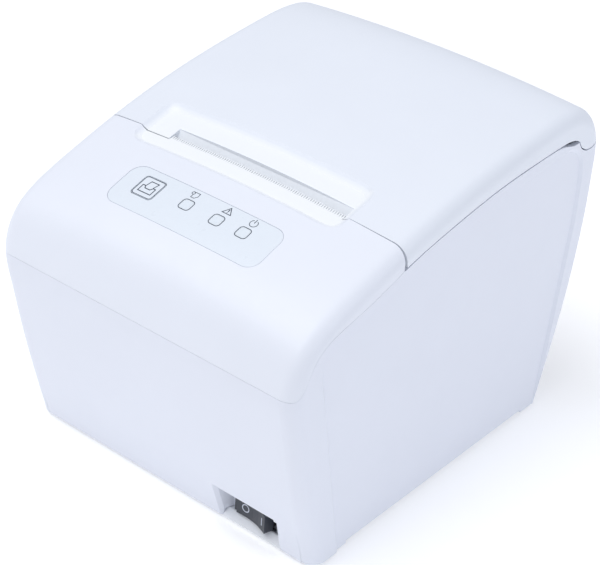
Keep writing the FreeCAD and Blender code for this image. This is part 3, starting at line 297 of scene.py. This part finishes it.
def stroke_faces(bm, pts, width, closed, place):
    """A flat ribbon of one width along a polyline, laid on a surface."""
    fine = []
    n = len(pts)
    for i in range(n if closed else n - 1):
        a, b = Vector(pts[i]), Vector(pts[(i + 1) % n])
        m = max(1, int((b - a).length / 0.5))
        fine += [a.lerp(b, k / m) for k in range(m)]
    if not closed:
        fine.append(Vector(pts[-1]))
    n = len(fine)
    rows = []
    for i in range(n):
        p = fine[i]
        a = fine[i - 1] if (i or closed) else p
        c = fine[(i + 1) % n] if (i < n - 1 or closed) else p
        d1 = (p - a).normalized() if (p - a).length > 1e-9 else None
        d2 = (c - p).normalized() if (c - p).length > 1e-9 else None
        d1 = d1 or d2
        d2 = d2 or d1
        t = (d1 + d2)
        t = t.normalized() if t.length > 1e-6 else d1
        nn = Vector((-t.y, t.x))
        k = 1.0 / max(0.5, abs(nn.dot(Vector((-d1.y, d1.x)))))
        rows.append((bm.verts.new(place(*(p + nn * width / 2 * k))),
                     bm.verts.new(place(*(p - nn * width / 2 * k)))))
    for i in range(n if closed else n - 1):
        a, b = rows[i], rows[(i + 1) % n]
        bm.faces.new((a[0], a[1], b[1], b[0]))


def rrect(cx, cy, hx, hy, r, seg=6):
    out = []
    for sx, sy, a0 in ((1, 1, 0), (-1, 1, 90), (-1, -1, 180), (1, -1, 270)):
        for k in range(seg + 1):
            a = math.radians(a0 + 90 * k / seg)
            out.append((cx + sx * (hx - r) + r * math.cos(a),
                        cy + sy * (hy - r) + r * math.sin(a)))
    return out


def ring(cx, cy, r, a0=0, a1=360, seg=28):
    n = seg if a1 - a0 >= 360 else seg + 1
    return [(cx + r * math.cos(math.radians(a0 + (a1 - a0) * k / seg)),
             cy + r * math.sin(math.radians(a0 + (a1 - a0) * k / seg)))
            for k in range(n)]


def mesh_obj(name, bm, mat, body):
    bmesh.ops.recalc_face_normals(bm, faces=bm.faces)
    me = bpy.data.meshes.new(name)
    bm.to_mesh(me)
    bm.free()
    o = bpy.data.objects.new(name, me)
    scene.collection.objects.link(o)
    me.materials.append(mat)
    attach(o, body)
    return o


def marks(name, strokes, body, lift=0.03):
    bm = bmesh.new()
    for pts, w, closed in strokes:
        stroke_faces(bm, pts, w, closed, lambda x, y: on_panel(x, y, lift))
    sol = mesh_obj(name, bm, M_INK, body)
    md = sol.modifiers.new("ink", "SOLIDIFY")
    md.thickness = 0.00003
    md.offset = 0.0
    return sol


KX, KY = -25.2, 0.8
LEDS = [(-7.3, 1.1), (7.1, 0.8), (19.0, 1.0)]
key_marks = [
    (rrect(KX, KY, 4.56, 4.56, 1.2), 0.26, True),
    # sheet leaving a tray
    ([(KX - 3.0, KY + 0.4), (KX - 3.0, KY - 2.7), (KX + 3.0, KY - 2.7),
      (KX + 3.0, KY + 0.4), (KX + 1.9, KY + 0.4), (KX + 1.2, KY - 0.7),
      (KX - 1.2, KY - 0.7), (KX - 1.9, KY + 0.4)], 0.36, True),
    ([(KX - 1.7, KY + 0.4), (KX - 1.1, KY + 3.0), (KX + 2.5, KY + 3.0),
      (KX + 1.7, KY + 0.4)], 0.34, False),
]
marks("feed_key_mark", key_marks, "feed_key")
panel_marks = []
for lx, ly in LEDS:
    panel_marks.append((rrect(lx, ly, 2.47, 2.47, 1.35), 0.27, True))
(ax, ay), (bx, by), (cx, cy) = [(x + d, 6.4) for (x, y), d in zip(LEDS, (-0.5, 0.8, 0.4))]
panel_marks += [
    # a sheet with one curled corner
    ([(ax - 1.5, ay + 1.2), (ax + 1.5, ay + 1.2), (ax + 1.5, ay - 0.4),
      (ax + 0.6, ay - 1.5), (ax - 0.9, ay - 1.5), (ax - 0.9, ay + 0.2)], 0.24, False),
    (ring(ax - 1.2, ay + 0.55, 0.62, 0, 360, 14), 0.24, True),
    # warning triangle
    ([(bx, by + 1.6), (bx - 1.9, by - 1.4), (bx + 1.9, by - 1.4)], 0.30, True),
    ([(bx, by + 0.7), (bx, by - 0.4)], 0.38, False),
    ([(bx, by - 0.75), (bx, by - 1.05)], 0.38, False),
    # standby sign
    (ring(cx, cy - 0.1, 1.55, 118, 422, 24), 0.26, False),
    ([(cx, cy + 2.0), (cx, cy + 0.1)], 0.28, False),
]
marks("panel_marks", panel_marks, "printer")

# ---- ring and bar on the rocker -------------------------------------------------
ROCKER_TREE = tree(["power_rocker"])


def on_rocker(x, z):
    hit = ROCKER_TREE.ray_cast(Vector((x, -95.0, z)) * MM, Vector((0, 1, 0)))
    p = hit[0] if hit[0] is not None else Vector((x, -70.5, z)) * MM
    return p + Vector((0, -0.03 * MM, 0))


bm = bmesh.new()
stroke_faces(bm, ring(35.9, 8.9, 1.55, 0, 360, 24), 0.42, True, on_rocker)
stroke_faces(bm, [(44.9, 7.2), (44.9, 10.6)], 0.46, False, on_rocker)
ro = mesh_obj("rocker_marks", bm, M_MARK, "rocker")
md = ro.modifiers.new("ink", "SOLIDIFY")
md.thickness = 0.00003
md.offset = 0.0

# ---- stage: floor, light, camera -------------------------------------------------
me = bpy.data.meshes.new("floor")
bm = bmesh.new()
bmesh.ops.create_grid(bm, x_segments=1, y_segments=1, size=6.0)
bm.to_mesh(me)
bm.free()
floor = bpy.data.objects.new("floor", me)
floor.location.z = -0.00005
scene.collection.objects.link(floor)
fm, fnt, fb = new_mat("floor_paper")
fv = coords(fnt)
fnt.links.new(ramp(fnt, noise(fnt, fv, 2.0, 3.0), (0.93, 0.935, 0.94), (0.95, 0.952, 0.955)),
              fb.inputs["Base Color"])
fb.inputs["Emission Color"].default_value = (1, 1, 1, 1)
fb.inputs["Emission Strength"].default_value = 0.25
fb.inputs["Roughness"].default_value = 0.7
fb.inputs["Specular IOR Level"].default_value = 0.2
me.materials.append(fm)

w = bpy.data.worlds.new("studio")
scene.world = w
w.use_nodes = True
wb = w.node_tree.nodes["Background"]
wb.inputs["Color"].default_value = (0.925, 0.955, 1.05, 1)
wb.inputs["Strength"].default_value = 0.46


def area(name, loc, target, size, power, color=(1, 1, 1)):
    d = bpy.data.lights.new(name, "AREA")
    d.shape = "RECTANGLE"
    d.size, d.size_y = size
    d.energy = power
    d.color = color
    o = bpy.data.objects.new(name, d)
    o.location = loc
    o.rotation_euler = (Vector(target) - Vector(loc)).to_track_quat("-Z", "Y").to_euler()
    scene.collection.objects.link(o)
    return o


area("key", (-0.38, -0.56, 1.36), (0, 0, 0.09), (1.2, 1.0), 10.8)
area("top", (0.05, 0.15, 1.4), (0, 0, 0.1), (1.4, 1.2), 3.4)
area("side", (1.2, 0.25, 0.60), (0, 0, 0.07), (0.9, 0.7), 2.3, (0.94, 0.98, 1.08))

# camera fitted to the picture's view
AZ, EL, RO = math.radians(37.788), math.radians(31.838), math.radians(4.015)
back = Vector((math.sin(AZ) * math.cos(EL), -math.cos(AZ) * math.cos(EL), math.sin(EL)))
right = Vector((math.cos(AZ), math.sin(AZ), 0))
up = back.cross(right)
r2 = right * math.cos(RO) + up * math.sin(RO)
u2 = -right * math.sin(RO) + up * math.cos(RO)
cam = bpy.data.cameras.new("camera")
cam.sensor_width = 36.0
cam.lens = 1842.22 / 600.0 * 36.0
cam.clip_start = 0.01
co = bpy.data.objects.new("camera", cam)
mw = Matrix((r2, u2, back)).transposed().to_4x4()
mw.translation = Vector((366.38, -473.08, 430.15)) * MM
co.matrix_world = mw
scene.collection.objects.link(co)
scene.camera = co
scene.view_settings.view_transform = "Standard"
scene.view_settings.look = "None"
scene.view_settings.exposure = 0.0
